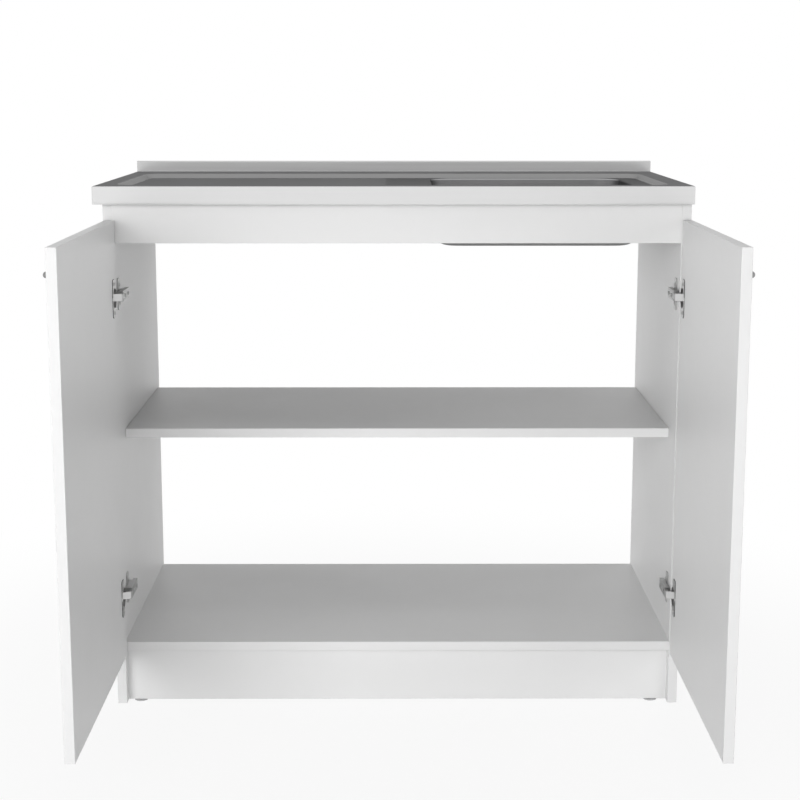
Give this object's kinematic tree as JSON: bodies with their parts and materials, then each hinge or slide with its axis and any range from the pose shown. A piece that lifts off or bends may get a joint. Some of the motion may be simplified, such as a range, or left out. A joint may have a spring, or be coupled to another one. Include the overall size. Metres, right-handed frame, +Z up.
{
  "type": "sink base cabinet",
  "caption": "Kitchen sink base cabinet with double doors, inner shelf, plinth and a lay-on steel sink top with a drainer and a square bowl",
  "frame": {"origin": "on the floor, in the plane of the carcass front edges, midway between the carcass sides", "axes": "+X to the right seen from the front, +Y to the wall behind, +Z up"},
  "size_m": [1.011, 0.991, 0.929],
  "materials": {
    "white_board": "satin",
    "sink_steel": "satin",
    "hinge_steel": "satin",
    "knob_steel": "satin",
    "glide_plastic": "matt",
    "dowel_wood": "matt"
  },
  "bodies": {
    "cabinet": {"arm_pins": "hinge_steel", "arm_screws": "hinge_steel", "bottom_panel": "white_board", "bracket_screws": "hinge_steel", "cam_bolts": "hinge_steel", "cam_housings": "hinge_steel", "dowels": "dowel_wood", "front_rail": "white_board", "glide_back_left": "glide_plastic", "glide_back_right": "glide_plastic", "glide_front_left": "glide_plastic", "glide_front_right": "glide_plastic", "hinge_arm_left_lower": "hinge_steel", "hinge_arm_left_upper": "hinge_steel", "hinge_arm_right_lower": "hinge_steel", "hinge_arm_right_upper": "hinge_steel", "mounting_plate_left_lower": "hinge_steel", "mounting_plate_left_upper": "hinge_steel", "mounting_plate_right_lower": "hinge_steel", "mounting_plate_right_upper": "hinge_steel", "plate_screws": "hinge_steel", "plinth": "white_board", "rear_rail": "white_board", "shelf": "white_board", "shelf_pins": "hinge_steel", "side_panel_left": "white_board", "side_panel_right": "white_board", "sink_brackets": "hinge_steel", "sink_top": "sink_steel"},
    "left_door": {"cup_pins_left": "hinge_steel", "cup_screws_left": "hinge_steel", "door_left": "white_board", "hinge_cup_left_lower": "hinge_steel", "hinge_cup_left_upper": "hinge_steel", "knob_left": "knob_steel"},
    "right_door": {"cup_pins_right": "hinge_steel", "cup_screws_right": "hinge_steel", "door_right": "white_board", "hinge_cup_right_lower": "hinge_steel", "hinge_cup_right_upper": "hinge_steel", "knob_right": "knob_steel"},
    "left_links": {"hinge_link_left_lower": "hinge_steel", "hinge_link_left_upper": "hinge_steel"},
    "right_links": {"hinge_link_right_lower": "hinge_steel", "hinge_link_right_upper": "hinge_steel"}
  },
  "joints": [
    {"name": "left_door_hinge", "type": "hinge", "parent": "cabinet", "child": "left_door", "pos_m": [-0.48002, -0.01033, 0], "axis": [0, 0, 1], "range_deg": [-10, 90]},
    {"name": "right_door_hinge", "type": "hinge", "parent": "cabinet", "child": "right_door", "pos_m": [0.48433, -0.01033, 0], "axis": [0, 0, 1], "range_deg": [-90, 10]},
    {"name": "left_links_turn", "type": "hinge", "parent": "cabinet", "child": "left_links", "pos_m": [-0.46303, -0.0103, 0], "axis": [0, 0, 1], "range_deg": [-31.6, 3.6]},
    {"name": "right_links_turn", "type": "hinge", "parent": "cabinet", "child": "right_links", "pos_m": [0.46733, -0.0103, 0], "axis": [0, 0, 1], "range_deg": [-3.6, 31.6]}
  ],
  "couplings": [
    {"joint": "left_links_turn", "follows": "left_door_hinge", "ratio": -0.351},
    {"joint": "right_links_turn", "follows": "right_door_hinge", "ratio": -0.351}
  ]
}
